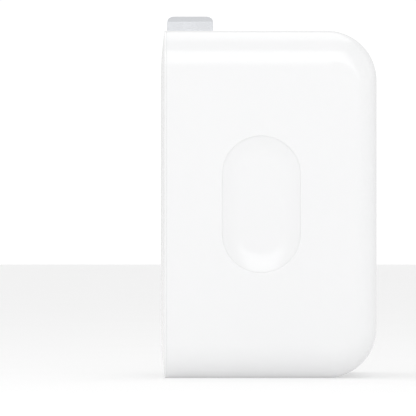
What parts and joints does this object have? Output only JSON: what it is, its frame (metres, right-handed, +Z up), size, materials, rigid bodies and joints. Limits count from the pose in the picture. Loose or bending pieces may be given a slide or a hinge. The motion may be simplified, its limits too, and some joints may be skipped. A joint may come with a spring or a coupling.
{
  "type": "wall power adapter",
  "caption": "Compact wall-plug power adapter with folding mains blades at the back, USB-C outlets at the front and a finger dish in each side.",
  "frame": {"origin": "centre, in X and Y, of the adapter's bounding box, on the plane of the face it stands on", "axes": "+X from the wall face to the outlet face, +Y across the adapter to its left seen from the outlets' far side, +Z up, towards the tips of the folded blades"},
  "size_m": [0.0296, 0.058, 0.0498],
  "materials": {
    "white_case": "moulded, satin gloss",
    "white_barrel": "moulded, satin",
    "natural_plastic": "glass-filled moulding",
    "nickel_plate": "brass under bright nickel plate",
    "contact_brass": "stamped, bright",
    "spring_steel": "rolled strip",
    "zinc_steel": "zinc plated",
    "outlet_steel": "deep drawn, nickel plated",
    "gold_plate": "gold flash",
    "tinned_lead": "tinned copper",
    "enamelled_copper": "enamelled wire",
    "can_aluminium": "drawn can",
    "spreader_aluminium": "mill finish",
    "ferrite": "sintered, ground faces",
    "black_plastic": "moulded",
    "grey_moulding": "pressed powder",
    "dark_sleeve": "shrink sleeve",
    "yellow_case": "boxed film part",
    "brown_case": "moulded",
    "green_coat": "dipped coating",
    "blue_coat": "dipped coating",
    "winding_tape": "polyester tape",
    "barrier_sheet": "polyester sheet",
    "gap_pad": "soft silicone",
    "chip_ceramic": "sintered chips",
    "board_green": "solder mask over glass laminate"
  },
  "bodies": {
    "adapter": {"board_link_pins": "gold_plate", "bridge_rectifier": "black_plastic", "bridge_rectifier_legs": "tinned_lead", "choke_core": "ferrite", "choke_front_winding": "enamelled_copper", "choke_rear_winding": "enamelled_copper", "detent_spring": "spring_steel", "film_capacitor": "yellow_case", "film_capacitor_leads": "tinned_lead", "front_bulk_capacitor_can": "can_aluminium", "front_bulk_capacitor_leads": "tinned_lead", "front_bulk_capacitor_sleeve": "dark_sleeve", "heat_spreader": "spreader_aluminium", "hinge_retainer": "natural_plastic", "housing": "white_case", "inrush_thermistor": "green_coat", "inrush_thermistor_leads": "tinned_lead", "insulation_barrier": "barrier_sheet", "left_outlet_contacts": "gold_plate", "left_outlet_controller": "black_plastic", "left_outlet_inductor": "grey_moulding", "left_outlet_shell": "outlet_steel", "left_outlet_tongue": "black_plastic", "left_output_capacitor": "can_aluminium", "line_contact_spring": "contact_brass", "main_board": "board_green", "mains_fuse": "brown_case", "mains_fuse_leads": "tinned_lead", "neutral_contact_spring": "contact_brass", "optocoupler": "black_plastic", "optocoupler_legs": "tinned_lead", "outlet_board_passives": "chip_ceramic", "port_board": "board_green", "power_switch": "black_plastic", "rear_bulk_capacitor_can": "can_aluminium", "rear_bulk_capacitor_leads": "tinned_lead", "rear_bulk_capacitor_sleeve": "dark_sleeve", "rear_cover": "white_case", "retainer_screws": "zinc_steel", "right_outlet_contacts": "gold_plate", "right_outlet_controller": "black_plastic", "right_outlet_inductor": "grey_moulding", "right_outlet_shell": "outlet_steel", "right_outlet_tongue": "black_plastic", "right_output_capacitor": "can_aluminium", "safety_capacitor": "blue_coat", "safety_capacitor_leads": "tinned_lead", "thermal_pad": "gap_pad", "transformer_bobbin": "black_plastic", "transformer_core": "ferrite", "transformer_pins": "tinned_lead", "transformer_winding": "winding_tape"},
    "plug": {"line_blade": "nickel_plate", "neutral_blade": "nickel_plate", "blade_rotor": "white_barrel"}
  },
  "joints": [
    {"name": "blades_fold", "type": "hinge", "parent": "adapter", "child": "plug", "pos_m": [-0.01075, 0, 0.0279], "axis": [0, -1, 0], "range_deg": [0, 90], "deforming": ["detent_spring"]}
  ]
}
